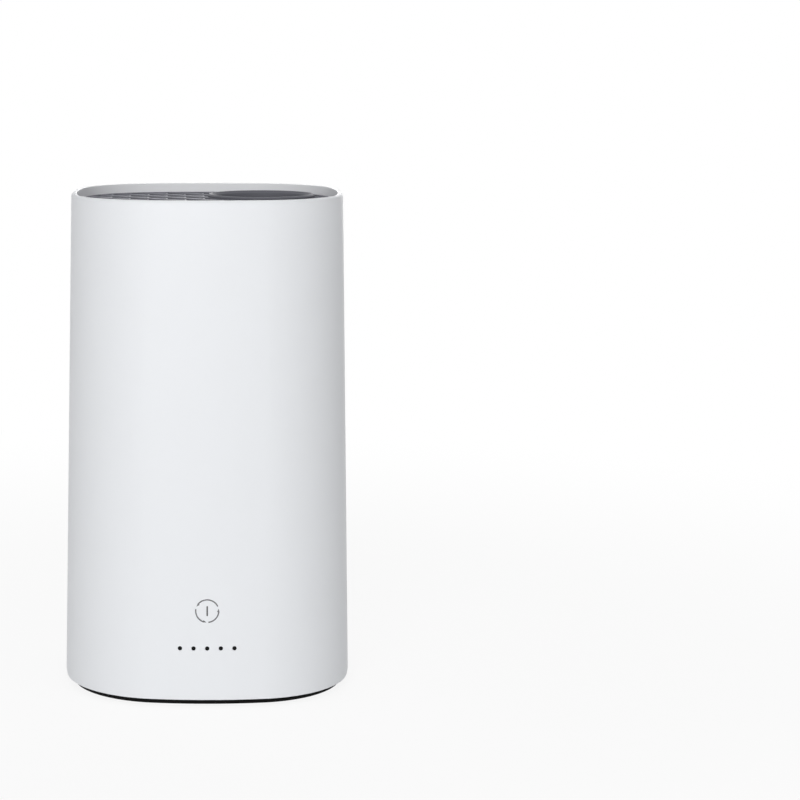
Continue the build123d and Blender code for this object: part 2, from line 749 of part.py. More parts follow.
# ---- Ultraviolet lamp: holder, board, emitters and window in the tub's left wall ----
holder_out = lamp_face + lamp_flange + fit_gap
holder_in = holder_out - lamp_depth
lamp_open_y = lamp_length / 2 - lamp_frame
lamp_open_z = lamp_width / 2 - lamp_frame
flange_y = lamp_length / 2 + lamp_flange_overhang
flange_z = lamp_width / 2 + lamp_flange_overhang
with BuildPart() as lamp_holder:
    box_between(
        (-holder_out, -holder_in),
        (-lamp_length / 2, lamp_length / 2),
        (lamp_height - lamp_width / 2, lamp_height + lamp_width / 2),
    )
    box_between(
        (-holder_out, -holder_out + lamp_flange),
        (-flange_y, flange_y),
        (lamp_height - flange_z, lamp_height + flange_z),
    )
    box_between(
        (-holder_out, -holder_in),
        (-lamp_open_y, lamp_open_y),
        (lamp_height - lamp_open_z, lamp_height + lamp_open_z),
        mode=Mode.SUBTRACT,
    )
    lamp_seats = [(-holder_out, lamp_board_thickness), (-holder_in - window_thickness, window_thickness)]
    for low, depth in lamp_seats:
        box_between(
            (low, low + depth),
            (-lamp_open_y - lamp_seat, lamp_open_y + lamp_seat),
            (lamp_height - lamp_open_z - lamp_seat, lamp_height + lamp_open_z + lamp_seat),
            mode=Mode.SUBTRACT,
        )
finish(lamp_holder, "lamp_holder")

seat_y = lamp_open_y + lamp_seat - light_gap
seat_z = lamp_open_z + lamp_seat - light_gap
with BuildPart() as lamp_board:
    box_between(
        (-holder_out, -holder_out + lamp_board_thickness),
        (-seat_y, seat_y),
        (lamp_height - seat_z, lamp_height + seat_z),
    )
finish(lamp_board, "lamp_board")

with BuildPart() as lamp_window:
    box_between(
        (-holder_in - window_thickness, -holder_in),
        (-seat_y, seat_y),
        (lamp_height - seat_z, lamp_height + seat_z),
    )
finish(lamp_window, "lamp_window")

with BuildPart() as lamp_emitters:
    led_low = -holder_out + lamp_board_thickness
    for i in (-1, 0, 1):
        box_between(
            (led_low, led_low + uv_led_depth),
            (i * uv_led_pitch - uv_led_size / 2, i * uv_led_pitch + uv_led_size / 2),
            (lamp_height - uv_led_size / 2, lamp_height + uv_led_size / 2),
        )
finish(lamp_emitters, "lamp_emitters")
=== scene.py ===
from math import cos, radians, sin

import bmesh
import bpy
from bpy.props import FloatProperty, FloatVectorProperty, IntProperty, PointerProperty
from mathutils import Matrix, Vector
from mathutils.bvhtree import BVHTree


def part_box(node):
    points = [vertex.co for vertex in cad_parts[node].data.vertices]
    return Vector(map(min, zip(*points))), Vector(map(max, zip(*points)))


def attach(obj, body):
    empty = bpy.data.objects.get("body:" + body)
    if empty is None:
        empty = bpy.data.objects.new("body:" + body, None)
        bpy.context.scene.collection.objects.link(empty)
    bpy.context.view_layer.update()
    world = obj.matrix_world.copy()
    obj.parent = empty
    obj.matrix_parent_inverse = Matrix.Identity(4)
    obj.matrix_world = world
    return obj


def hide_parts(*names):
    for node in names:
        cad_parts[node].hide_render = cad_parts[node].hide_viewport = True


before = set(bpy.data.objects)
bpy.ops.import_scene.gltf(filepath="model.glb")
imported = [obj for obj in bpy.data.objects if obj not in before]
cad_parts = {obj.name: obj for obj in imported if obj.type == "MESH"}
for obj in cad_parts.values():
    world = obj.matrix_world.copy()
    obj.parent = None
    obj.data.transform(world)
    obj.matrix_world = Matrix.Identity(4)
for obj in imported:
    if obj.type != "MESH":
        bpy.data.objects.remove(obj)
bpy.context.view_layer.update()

bl_info = {
    "name": "Chopstick steriliser box",
    "version": (1, 0, 0),
    "blender": (4, 5, 0),
    "location": "3D View > Sidebar > Steriliser",
    "description": "Finishes, touch key sign and studio of a chopstick and knife steriliser box",
    "category": "Object",
}

MM = 0.001

# The soft lights: the setting that holds the power of each, its width and its place, in metres.
SOFT_LIGHTS = {
    "Front_light": ("front_light", 1.5, Vector((-0.45, -2.6, 0.72))),
    "Top_light": ("top_light", 1.0, Vector((0.1, -0.2, 1.7))),
    "Rear_light": ("rear_light", 1.2, Vector((0.2, 2.6, 0.62))),
}
LIGHTS_AIM = Vector((0, 0, 0.14))

# Up to the first distance from its middle, in metres, the worktop shows a little of its own white and of the
# box's shadow. It fades from there, and from the second distance on the camera sees pure white.
FLOOR_FADE = (0.2, 0.8)
FLOOR_FADE_NEAR = 0.88  # share of pure white that the camera sees up to the first distance
FLOOR_MOTTLE = 12.0  # cells of the worktop's mottle in a metre

FOCAL_LENGTH = 101.28  # mm, on a sensor as wide as the next value
SENSOR_WIDTH = 36
LENS_SHIFT = (0.241, 0.0401)  # puts the box left of the picture's middle and below it

# Where each arrow of the sign's ring starts and ends, in degrees anticlockwise from the right.
RING_ARROWS = ((24, 157), (170, 266), (276, 372))


# ---- Colours, nodes and meshes ----


def linear(hex_colour):
    """Turn an sRGB hex colour into linear red, green and blue."""
    channels = [int(hex_colour[i : i + 2], 16) / 255 for i in (1, 3, 5)]
    return tuple(c / 12.92 if c <= 0.04045 else ((c + 0.055) / 1.055) ** 2.4 for c in channels)


def add_node(tree, kind, inputs=None, **settings):
    """Add a node with its settings, and fill or link its inputs."""
    node = tree.nodes.new(kind)
    for name, value in settings.items():
        setattr(node, name, value)
    for socket, value in (inputs or {}).items():
        if isinstance(value, bpy.types.NodeSocket):
            tree.links.new(value, node.inputs[socket])
        else:
            node.inputs[socket].default_value = value
    return node


def start_material(name, **shader):
    """A new material, its tree, its shader with plain values set, and the object's own coordinates."""
    material = bpy.data.materials.new(name)
    material.use_nodes = True
    tree = material.node_tree
    surface = tree.nodes["Principled BSDF"]
    for socket, value in shader.items():
        surface.inputs[socket.replace("_", " ")].default_value = value
    place = add_node(tree, "ShaderNodeTexCoord").outputs["Object"]
    return material, tree, surface, place


def tint_between(tree, surface, amount, colour, spread):
    """Let the base colour wander by spread to each side of colour, as amount goes from 0 to 1."""
    darker = tuple(c * (1 - spread) for c in colour) + (1,)
    lighter = tuple(min(1, c * (1 + spread)) for c in colour) + (1,)
    tint = add_node(tree, "ShaderNodeMix", {0: amount, 6: darker, 7: lighter}, data_type="RGBA")
    tree.links.new(tint.outputs[2], surface.inputs["Base Color"])


def roughness_between(tree, surface, amount, low, high):
    """Let the roughness go from low to high as amount goes from 0 to 1."""
    spread = add_node(tree, "ShaderNodeMapRange", {"Value": amount, "To Min": low, "To Max": high})
    tree.links.new(spread.outputs["Result"], surface.inputs["Roughness"])


def relief_from(tree, surface, height, depth):
    """Raise the surface by depth, in mm, where height goes from 0 to 1."""
    bump = add_node(tree, "ShaderNodeBump", {"Strength": 1.0, "Distance": depth * MM, "Height": height})
    tree.links.new(bump.outputs["Normal"], surface.inputs["Normal"])


def new_piece(name, cells, material, body):
    """Make an object of a bmesh, with its finish, riding on a body."""
    mesh = bpy.data.meshes.new(name)
    cells.to_mesh(mesh)
    cells.free()
    mesh.materials.append(material)
    piece = bpy.data.objects.new(name, mesh)
    bpy.context.scene.collection.objects.link(piece)
    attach(piece, body)
    return piece


def paint(material, *nodes):
    """Give CAD nodes that stay as they are a finish."""
    for node in nodes:
        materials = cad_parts[node].data.materials
        materials.clear()
        materials.append(material)


def smooth_faces(cells, sharpest):
    """Shade a mesh smooth, but for its edges sharper than the given angle in degrees."""
    for face in cells.faces:
        face.smooth = True
    for edge in cells.edges:
        edge.smooth = len(edge.link_faces) == 2 and edge.calc_face_angle() < radians(sharpest)


def welded_copy(node):
    """A bmesh of a CAD node with its loose triangles joined."""
    cells = bmesh.new()
    cells.from_mesh(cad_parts[node].data)
    bmesh.ops.remove_doubles(cells, verts=cells.verts, dist=0.001 * MM)
    return cells


def soften(cells, edges, width, segments=2):
    """Round edges off by a width."""
    bmesh.ops.bevel(
        cells,
        geom=edges,
        offset=width,
        offset_type="OFFSET",
        affect="EDGES",
        segments=segments,
        profile=0.5,
        material=-1,
        clamp_overlap=True,
    )


def corners_at(cells, *heights):
    """The edges of 60 degrees or sharper that lie at one of the given heights."""
    tolerance = 0.05 * MM
    found = []
    for edge in cells.edges:
        low, high = sorted(vertex.co.z for vertex in edge.verts)
        level = any(abs(low - z) < tolerance and abs(high - z) < tolerance for z in heights)
        if level and len(edge.link_faces) == 2 and edge.calc_face_angle() > radians(60):
            found.append(edge)
    return found


def finish_part(node, material, body, sharpest=30, cells=None):
    """Stand a welded and smoothly shaded copy of a CAD node in its place, with its finish."""
    paint(material, node)
    if cells is None:
        cells = welded_copy(node)
    smooth_faces(cells, sharpest)
    piece = new_piece(node + "_finished", cells, material, body)
    normals = piece.modifiers.new("Flat faces stay flat", "WEIGHTED_NORMAL")
    normals.keep_sharp = True
    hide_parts(node)
    return piece


# ---- Finishes ----


def moulded_plastic(name, colour, roughness, grain, depth, spread=0.02, **shader):
    """A moulded plastic: grain and depth are the size and relief, in mm, of the tool's texture.

    The melt cools unevenly, so its colour and gloss wander over patches of about 35 mm.
    """
    patch = 35
    gloss_spread = 0.05
    material, tree, surface, place = start_material(name, IOR=1.5, **shader)
    cloud = add_node(tree, "ShaderNodeTexNoise", {"Vector": place, "Scale": 1 / (patch * MM), "Detail": 3})
    tint_between(tree, surface, cloud.outputs["Fac"], colour, spread)
    roughness_between(
        tree, surface, cloud.outputs["Fac"], roughness - gloss_spread, roughness + gloss_spread
    )
    texture = add_node(tree, "ShaderNodeTexNoise", {"Vector": place, "Scale": 1 / (grain * MM), "Detail": 2})
    relief_from(tree, surface, texture.outputs["Fac"], depth)
    return material


def moulded_rubber(name, colour):
    """Moulded silicone rubber: soft sheen, no gloss, a fine matt bloom on the surface."""
    # The bloom lies in patches of about 6 mm, broken up by finer ones down to 0.2 mm.
    bloom_size = 6
    material, tree, surface, place = start_material(
        name, IOR=1.43, Sheen_Weight=0.15, Sheen_Roughness=0.5
    )
    bloom = add_node(
        tree, "ShaderNodeTexNoise", {"Vector": place, "Scale": 1 / (bloom_size * MM), "Detail": 5}
    )
    tint_between(tree, surface, bloom.outputs["Fac"], colour, spread=0.15)
    roughness_between(tree, surface, bloom.outputs["Fac"], low=0.7, high=0.9)
    relief_from(tree, surface, bloom.outputs["Fac"], depth=0.03)
    return material


def worked_metal(name, colour, roughness, marks, depth):
    """A metal with the marks of how it was made: marks is their size in mm along X, Y and Z."""
    material, tree, surface, place = start_material(name, Metallic=1.0)
    stretch = add_node(
        tree, "ShaderNodeMapping", {"Vector": place, "Scale": tuple(1 / (m * MM) for m in marks)}
    )
    lines = add_node(
        tree, "ShaderNodeTexNoise", {"Vector": stretch.outputs["Vector"], "Scale": 1.0, "Detail": 3}
    )
    tint_between(tree, surface, lines.outputs["Fac"], colour, spread=0.08)
    roughness_between(tree, surface, lines.outputs["Fac"], roughness * 0.7, roughness * 1.3)
    relief_from(tree, surface, lines.outputs["Fac"], depth)
    return material


def tub_plastic(settings):
    """Polypropylene of the tub and what is clipped in it, matt so that the lamp's light spreads."""
    name = "Matt_black_polypropylene"
    return bpy.data.materials.get(name) or moulded_plastic(
        name, tuple(settings.colour), roughness=0.6, grain=1.2, depth=0.015, spread=0.1
    )


def seal_silicone():
    """Silicone of the drain and the duct's seal: pale grey, soft and dull."""
    name = "Moulded_grey_silicone"
    return bpy.data.materials.get(name) or moulded_rubber(name, linear("#9A9B9C"))


def filter_foam():
    """Open-cell polyurethane foam: pale strands about 1.2 mm apart, with painted shade making the hollows
    between them black.
    """
    pit_size = 1.2
    material, tree, surface, place = start_material("Open_cell_filter_foam", Roughness=0.95)
    cells = add_node(
        tree,
        "ShaderNodeTexVoronoi",
        {"Vector": place, "Scale": 1 / (pit_size * MM)},
        feature="DISTANCE_TO_EDGE",
    )
    # Painted shade: the cells' hollows are coloured black, and the same mask sinks them in the relief.
    pits_depth_and_shade = add_node(tree, "ShaderNodeMapRange", {"Value": cells.outputs["Distance"], "From Max": 0.25})
    tint = add_node(
        tree,
        "ShaderNodeMix",
        {0: pits_depth_and_shade.outputs["Result"], 6: linear("#5A5A5C") + (1,), 7: linear("#0C0C0D") + (1,)},
        data_type="RGBA",
    )
    tree.links.new(tint.outputs[2], surface.inputs["Base Color"])
    strands = add_node(tree, "ShaderNodeMath", {0: 1.0, 1: pits_depth_and_shade.outputs["Result"]}, operation="SUBTRACT")
    relief_from(tree, surface, strands.outputs["Value"], depth=0.5)
    return material


def circuit_board():
    """Glass-epoxy board under green solder resist: copper tracks 1.6 mm apart show as lighter lines."""
    weave_size = 0.8
    material, tree, surface, place = start_material("Solder_resist_board", IOR=1.55, Coat_Weight=0.4)
    # The board stands upright, and its pattern is measured in mm.
    upright = add_node(
        tree, "ShaderNodeMapping", {"Vector": place, "Rotation": (radians(90), 0, 0), "Scale": (1 / MM,) * 3}
    )
    tracks = add_node(
        tree,
        "ShaderNodeTexBrick",
        {
            "Vector": upright.outputs["Vector"],
            "Color1": linear("#0F5A34") + (1,),
            "Color2": linear("#146B3F") + (1,),
            "Mortar": linear("#2C9A5E") + (1,),
            "Scale": 1.0,
            "Mortar Size": 0.14,
            "Brick Width": 9.0,
            "Row Height": 1.6,
        },
    )
    tree.links.new(tracks.outputs["Color"], surface.inputs["Base Color"])
    weave = add_node(
        tree, "ShaderNodeTexNoise", {"Vector": place, "Scale": 1 / (weave_size * MM), "Detail": 2}
    )
    roughness_between(tree, surface, weave.outputs["Fac"], low=0.25, high=0.4)
    relief_from(tree, surface, tracks.outputs["Fac"], depth=0.03)
    return material


def lamp_glass():
    """Fused quartz window: clear and polished, with a trace of haze from wiping."""
    smear_size = 12
    material, tree, surface, place = start_material(
        "Polished_quartz_window", IOR=1.458, Transmission_Weight=1.0, Roughness=0.03
    )
    haze = add_node(
        tree, "ShaderNodeTexNoise", {"Vector": place, "Scale": 1 / (smear_size * MM), "Detail": 4}
    )
    tint_between(tree, surface, haze.outputs["Fac"], linear("#F2F5F8"), spread=0.02)
    roughness_between(tree, surface, haze.outputs["Fac"], low=0.01, high=0.08)
    return material


def printed_ink(name, colour):
    """Pad-printed epoxy ink: flat, matt and very thin, its edge a little soft from the pad."""
    speckle = 0.9
    material, tree, surface, place = start_material(name, IOR=1.5)
    film = add_node(tree, "ShaderNodeTexNoise", {"Vector": place, "Scale": 1 / (speckle * MM), "Detail": 3})
    tint_between(tree, surface, film.outputs["Fac"], colour, spread=0.05)
    roughness_between(tree, surface, film.outputs["Fac"], low=0.5, high=0.65)
    relief_from(tree, surface, film.outputs["Fac"], depth=0.004)
    return material


# ---- Sizes and colours that a user would change ----


class StageSettings(bpy.types.PropertyGroup):
    """The floor, the lights and the camera."""

    floor_width: FloatProperty(
        name="Floor width", description="Width and depth of the pale floor", default=30.0, unit="LENGTH"
    )
    room_light: FloatProperty(
        name="Room light",
        description="Strength of the even white light from all around",
        default=0.355,
        min=0,
    )
    front_light: FloatProperty(
        name="Front light",
        description="Power of the large soft light in front",
        default=37.0,
        min=0,
        unit="POWER",
    )
    top_light: FloatProperty(
        name="Top light", description="Power of the soft light overhead", default=4.0, min=0, unit="POWER"
    )
    rear_light: FloatProperty(
        name="Rear light", description="Power of the soft light behind", default=20.0, min=0, unit="POWER"
    )
    camera_height: FloatProperty(
        name="Camera height",
        description="Height of the camera above the worktop",
        default=0.354,
        unit="LENGTH",
    )
    camera_distance: FloatProperty(
        name="Camera distance",
        description="From the middle of the box forward",
        default=1.2455,
        unit="LENGTH",
    )
    camera_tilt: FloatProperty(
        name="Camera tilt", description="Down from level", default=radians(9.92), subtype="ANGLE"
    )


class ShellSettings(bpy.types.PropertyGroup):
    """The white outer shell and the pull-out tray."""

    colour: FloatVectorProperty(
        name="Shell colour",
        description="White of the shell and tray",
        subtype="COLOR",
        default=linear("#E9EBEE"),
    )
    roughness: FloatProperty(
        name="Roughness", description="From mirror gloss at 0 to matt at 1", default=0.5, min=0.05, max=0.95
    )
    # Painted light: the inner wall's white is brighter than the shell's, to lift the wall where the lights
    # leave it in shade.
    painted_light_inside_colour: FloatVectorProperty(
        name="Inside colour",
        description="White of the shell's inner wall",
        subtype="COLOR",
        default=linear("#F8F9FB"),
    )
    texture: FloatProperty(
        name="Orange peel",
        description="Size of the soft ripples of the moulded face",
        default=2.4 * MM,
        unit="LENGTH",
    )
    rim_round: FloatProperty(
        name="Rim rounding",
        description="How far the edges at the top and bottom are rounded off",
        default=0.35 * MM,
        unit="LENGTH",
    )


class BaseSettings(bpy.types.PropertyGroup):
    """The black base plate, its feet and screws."""

    # Painted shade: the plate's own black is deepened to near the darkest a surface can be, for the band that
    # lies in shade under the shell.
    colour: FloatVectorProperty(
        name="Base colour", description="Black of the base plate", subtype="COLOR", default=linear("#030303")
    )


class KeySettings(bpy.types.PropertyGroup):
    """The printed sign of the touch key."""

    height: FloatProperty(
        name="Sign height", description="Middle of the sign above the worktop", default=53 * MM, unit="LENGTH"
    )
    radius: FloatProperty(
        name="Ring radius", description="To the middle of the ring's stroke", default=6.15 * MM, unit="LENGTH"
    )
    stroke: FloatProperty(
        name="Stroke", description="Width of the ring's line", default=0.7 * MM, unit="LENGTH"
    )
    arrow_length: FloatProperty(
        name="Arrow length", description="Length of an arrowhead", default=1.9 * MM, unit="LENGTH"
    )
    arrow_width: FloatProperty(
        name="Arrow width", description="Width of an arrowhead", default=1.35 * MM, unit="LENGTH"
    )
    bar_length: FloatProperty(
        name="Bar length", description="Length of the bar in the ring", default=5.5 * MM, unit="LENGTH"
    )
    bar_width: FloatProperty(
        name="Bar width", description="Width of the bar in the ring", default=0.8 * MM, unit="LENGTH"
    )
    film: FloatProperty(
        name="Ink film", description="How far the print stands proud", default=0.05 * MM, unit="LENGTH"
    )
    steps: IntProperty(name="Steps", description="Segments of each arc", default=24, min=4)
    ring_colour: FloatVectorProperty(
        name="Ring colour",
        description="Grey of the ring's arrows",
        subtype="COLOR",
        default=linear("#666669"),
    )
    bar_colour: FloatVectorProperty(
        name="Bar colour", description="Grey of the bar", subtype="COLOR", default=linear("#4C4C4E")
    )


class GrilleSettings(bpy.types.PropertyGroup):
    """The lift-out grille and the chopstick cup."""

    # Painted shade: this grey is darker than the fins' grey, which is the grille's own, to stand for the
    # slats seen edge-on and in shade.
    colour: FloatVectorProperty(
        name="Grille colour",
        description="Grey of the ring, slats and collar",
        subtype="COLOR",
        default=linear("#75767E"),
    )
    fin_colour: FloatVectorProperty(
        name="Fin colour", description="Grey of the wavy fins", subtype="COLOR", default=linear("#8A8B93")
    )
    cup_colour: FloatVectorProperty(
        name="Cup colour", description="Grey of the chopstick cup", subtype="COLOR", default=linear("#65666D")
    )
    edge_round: FloatProperty(
        name="Edge rounding",
        description="How far the top edges of the ring and collar are rounded off",
        default=0.4 * MM,
        unit="LENGTH",
    )
    fin_bend: FloatProperty(
        name="Fin bends", description="How far the fins' bends are rounded", default=1.2 * MM, unit="LENGTH"
    )


class TubSettings(bpy.types.PropertyGroup):
    """The black drying tub and what is fitted in it."""

    colour: FloatVectorProperty(
        name="Tub colour",
        description="Black of the tub and its hood",
        subtype="COLOR",
        default=linear("#141416"),
    )


class WorksSettings(bpy.types.PropertyGroup):
    """The chassis, fan, heater and electrics under the tub."""

    chassis_colour: FloatVectorProperty(
        name="Chassis colour", description="Grey of the chassis", subtype="COLOR", default=linear("#5C5F64")
    )
    fan_colour: FloatVectorProperty(
        name="Fan colour", description="Black of the fan", subtype="COLOR", default=linear("#17181A")
    )


# ---- Pieces ----


class STERILISER_OT_stage(bpy.types.Operator):
    """Pale floor, white surroundings, three soft lights and the camera"""

    bl_idname = "steriliser.stage"
    bl_label = "Stage"

    def execute(self, context):
        settings = context.scene.steriliser_stage
        self.floor(settings)
        self.surroundings(context, settings)
        for name, (power, width, place) in SOFT_LIGHTS.items():
            self.soft_light(name, getattr(settings, power), width, place)
        self.camera(context, settings)
        return {"FINISHED"}

    def seen_directly(self, tree):
        """1 for what the camera sees, also in gloss and through glass, and 0 for light."""
        rays = add_node(tree, "ShaderNodeLightPath").outputs
        gloss = add_node(
            tree, "ShaderNodeMath", {0: rays["Is Camera Ray"], 1: rays["Is Glossy Ray"]}, operation="MAXIMUM"
        )
        seen = add_node(
            tree,
            "ShaderNodeMath",
            {0: gloss.outputs["Value"], 1: rays["Is Transmission Ray"]},
            operation="MAXIMUM",
        )
        return seen.outputs["Value"]

    def worktop_finish(self):
        """Matt white laminate that keeps the box's shadow and fades into the background."""
        material = bpy.data.materials.new("Matt_white_worktop")
        material.use_nodes = True
        tree = material.node_tree
        tree.nodes.remove(tree.nodes["Principled BSDF"])
        place = add_node(tree, "ShaderNodeTexCoord").outputs["Object"]
        distance = add_node(tree, "ShaderNodeVectorMath", {0: place}, operation="LENGTH")
        fade = add_node(
            tree,
            "ShaderNodeMapRange",
            {
                "Value": distance.outputs["Value"],
                "From Min": FLOOR_FADE[0],
                "From Max": FLOOR_FADE[1],
                "To Min": FLOOR_FADE_NEAR,
                "To Max": 1.0,
            },
            interpolation_type="SMOOTHSTEP",
        )
        share = add_node(
            tree,
            "ShaderNodeMath",
            {0: fade.outputs["Result"], 1: self.seen_directly(tree)},
            operation="MULTIPLY",
        )
        mottle = add_node(tree, "ShaderNodeTexNoise", {"Vector": place, "Scale": FLOOR_MOTTLE, "Detail": 3})
        white = add_node(
            tree,
            "ShaderNodeMix",
            {0: mottle.outputs["Fac"], 6: linear("#F1F1F1") + (1,), 7: linear("#F6F6F6") + (1,)},
            data_type="RGBA",
        )
        matt = add_node(tree, "ShaderNodeBsdfDiffuse", {"Color": white.outputs[2]})
        background = add_node(tree, "ShaderNodeEmission", {"Color": (1, 1, 1, 1), "Strength": 1.0})
        both = add_node(
            tree,
            "ShaderNodeMixShader",
            {0: share.outputs["Value"], 1: matt.outputs["BSDF"], 2: background.outputs["Emission"]},
        )
        tree.links.new(both.outputs["Shader"], tree.nodes["Material Output"].inputs["Surface"])
        return material

    def floor(self, settings):
        """The worktop that the box stands on."""
        cells = bmesh.new()
        bmesh.ops.create_grid(cells, x_segments=1, y_segments=1, size=settings.floor_width / 2)
        mesh = bpy.data.meshes.new("Worktop")
        cells.to_mesh(mesh)
        cells.free()
        mesh.materials.append(self.worktop_finish())
        worktop = bpy.data.objects.new("Worktop", mesh)
        bpy.context.scene.collection.objects.link(worktop)

    def surroundings(self, context, settings):
        """White where the camera sees it, and an even light elsewhere."""
        world = bpy.data.worlds.new("White_surroundings")
        world.use_nodes = True
        context.scene.world = world
        tree = world.node_tree
        strength = add_node(
            tree,
            "ShaderNodeMapRange",
            {"Value": self.seen_directly(tree), "To Min": settings.room_light, "To Max": 1.0},
        )
        background = tree.nodes["Background"]
        background.inputs["Color"].default_value = (1, 1, 1, 1)
        tree.links.new(strength.outputs["Result"], background.inputs["Strength"])

    def soft_light(self, name, power, width, place):
        """A square area light at a place, aimed at the box."""
        light = bpy.data.lights.new(name, "AREA")
        light.energy = power
        light.size = width
        lamp = bpy.data.objects.new(name, light)
        lamp.location = place
        lamp.rotation_euler = (LIGHTS_AIM - place).to_track_quat("-Z", "Y").to_euler()
        bpy.context.scene.collection.objects.link(lamp)

    def camera(self, context, settings):
        """A long lens at the photograph's angle."""
        lens = bpy.data.cameras.new("Camera")
        lens.lens = FOCAL_LENGTH
        lens.sensor_width = SENSOR_WIDTH
        lens.shift_x, lens.shift_y = LENS_SHIFT
        camera = bpy.data.objects.new("Camera", lens)
        camera.location = (0, -settings.camera_distance, settings.camera_height)
        camera.rotation_euler = (radians(90) - settings.camera_tilt, 0, 0)
        bpy.context.scene.collection.objects.link(camera)
        context.scene.camera = camera
        context.scene.view_settings.view_transform = "Standard"


class STERILISER_OT_shell(bpy.types.Operator):
    """White outer shell, open at the top"""

    bl_idname = "steriliser.shell"
    bl_label = "Outer shell"

    def execute(self, context):
        settings = context.scene.steriliser_shell
        # ABS from a finely stoned tool: satin, with broad soft reflections and a faint orange peel.
        white = moulded_plastic(
            "Satin_white_moulded_ABS",
            tuple(settings.colour),
            settings.roughness,
            grain=settings.texture / MM,
            depth=0.006,
            spread=0.006,
        )
        # The inner wall is the same white ABS with a finer ripple. Its white is painted brighter than the
        # outside's as painted light, to lift the wall where the lights leave it in shade.
        inside = moulded_plastic(
            "Blasted_white_moulded_ABS",
            tuple(settings.painted_light_inside_colour),
            roughness=0.5,
            grain=1.2,
            depth=0.006,
            spread=0.004,
        )
        low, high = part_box("outer_shell")
        cells = welded_copy("outer_shell")
        soften(cells, corners_at(cells, low.z, high.z), settings.rim_round)
        self.mark_inner_wall(cells, (low + high) / 2)
        shell = finish_part("outer_shell", white, "base", sharpest=50, cells=cells)
        shell.data.materials.append(inside)
        return {"FINISHED"}

    def mark_inner_wall(self, cells, middle):
        """Give the faces that look inwards the second material, the brighter white of painted light."""
        inwards = -0.3
        for face in cells.faces:
            outward = face.calc_center_median() - middle
            outward.z = 0
            face.material_index = int(face.normal.dot(outward.normalized()) < inwards)


class STERILISER_OT_tray(bpy.types.Operator):
    """White drip tray that pulls out to the rear"""

    bl_idname = "steriliser.tray"
    bl_label = "Drip tray"

    def execute(self, context):
        settings = context.scene.steriliser_shell
        # The tray's ABS is a little duller than the shell's, as its tool isn't stoned as fine.
        white = moulded_plastic(
            "Dull_white_moulded_ABS",
            tuple(settings.colour),
            settings.roughness + 0.1,
            grain=1.4,
            depth=0.008,
            spread=0.01,
        )
        finish_part("drip_tray", white, "tray")
        return {"FINISHED"}


class STERILISER_OT_base(bpy.types.Operator):
    """Black base plate with its rubber feet and screws"""

    bl_idname = "steriliser.base"
    bl_label = "Base"

    def execute(self, context):
        settings = context.scene.steriliser_base
        # ABS from a spark-eroded tool: an even matt grain, drawn at 0.8 mm so that it shows. Its black is the
        # plate's own black, deepened to near the darkest a surface can be as painted shade for the band under
        # the shell.
        black = moulded_plastic(
            "Spark_textured_black_ABS",
            tuple(settings.colour),
            roughness=0.72,
            grain=0.8,
            depth=0.03,
            spread=0.15,
            Specular_IOR_Level=0.12,
        )
        finish_part("base_plate", black, "base")
        # Black rubber of the feet: dull, and a touch greyer than the plate above it.
        rubber = moulded_rubber("Moulded_black_foot_rubber", linear("#1C1C1D"))
        finish_part("rubber_feet", rubber, "base")
        # Zinc plate on a cold-headed screw: cool silver with faint drawing lines along the shank.
        zinc = worked_metal(
            "Zinc_plated_steel", linear("#B9BBBD"), roughness=0.3, marks=(0.6, 0.6, 4), depth=0.01
        )
        finish_part("base_screws", zinc, "base")
        return {"FINISHED"}


